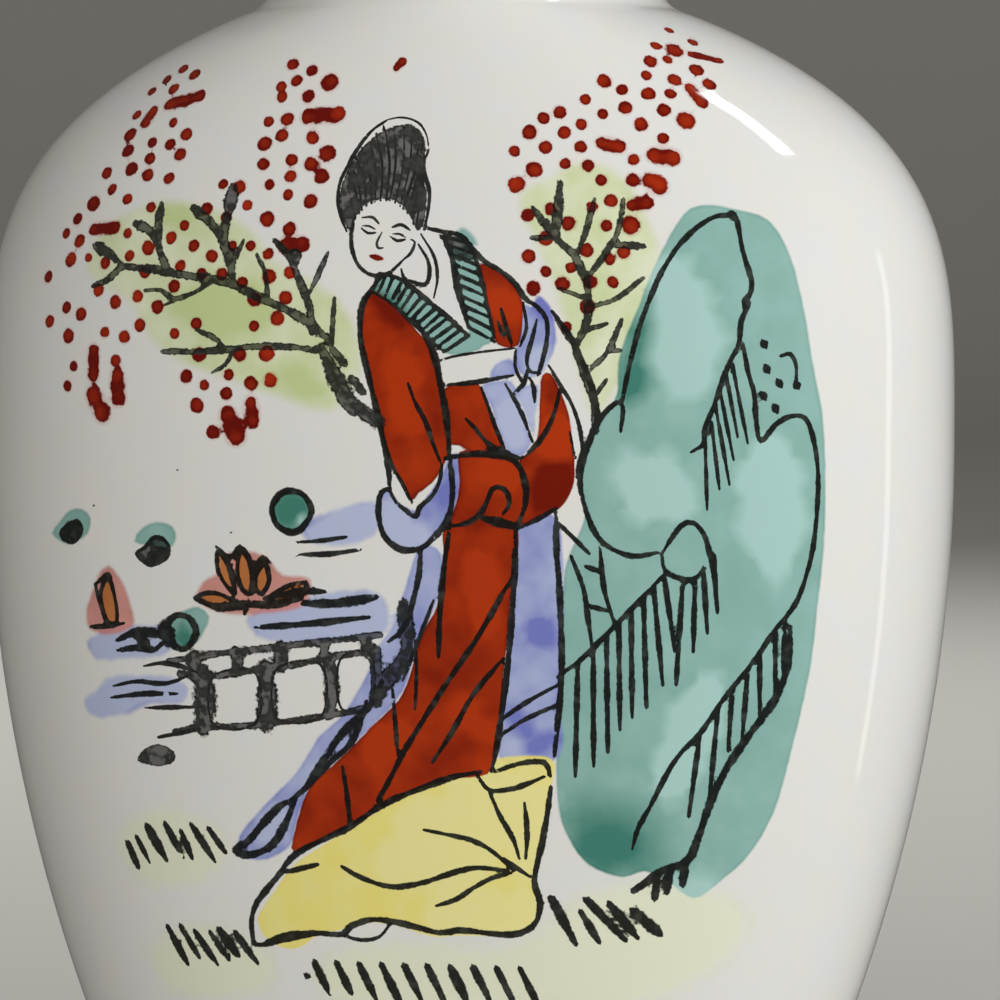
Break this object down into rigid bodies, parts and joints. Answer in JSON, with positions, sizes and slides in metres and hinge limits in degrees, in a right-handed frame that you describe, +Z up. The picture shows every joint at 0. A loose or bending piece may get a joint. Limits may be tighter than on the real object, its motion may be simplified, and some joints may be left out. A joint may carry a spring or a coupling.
{
  "type": "snuff jar",
  "caption": "Flattened oval porcelain snuff jar with high round shoulders, a short round neck, an open mouth and an oval foot ring, painted on one broad face.",
  "frame": {"origin": "on the table under the middle of the foot ring", "axes": "+Z up through the mouth, +X across the broad face, -Y out of the painted face"},
  "size_m": [0.05, 0.028, 0.07],
  "materials": {
    "white_glaze": "glossy white glaze"
  },
  "bodies": {
    "root": {"jar_body": "white_glaze"}
  },
  "joints": []
}
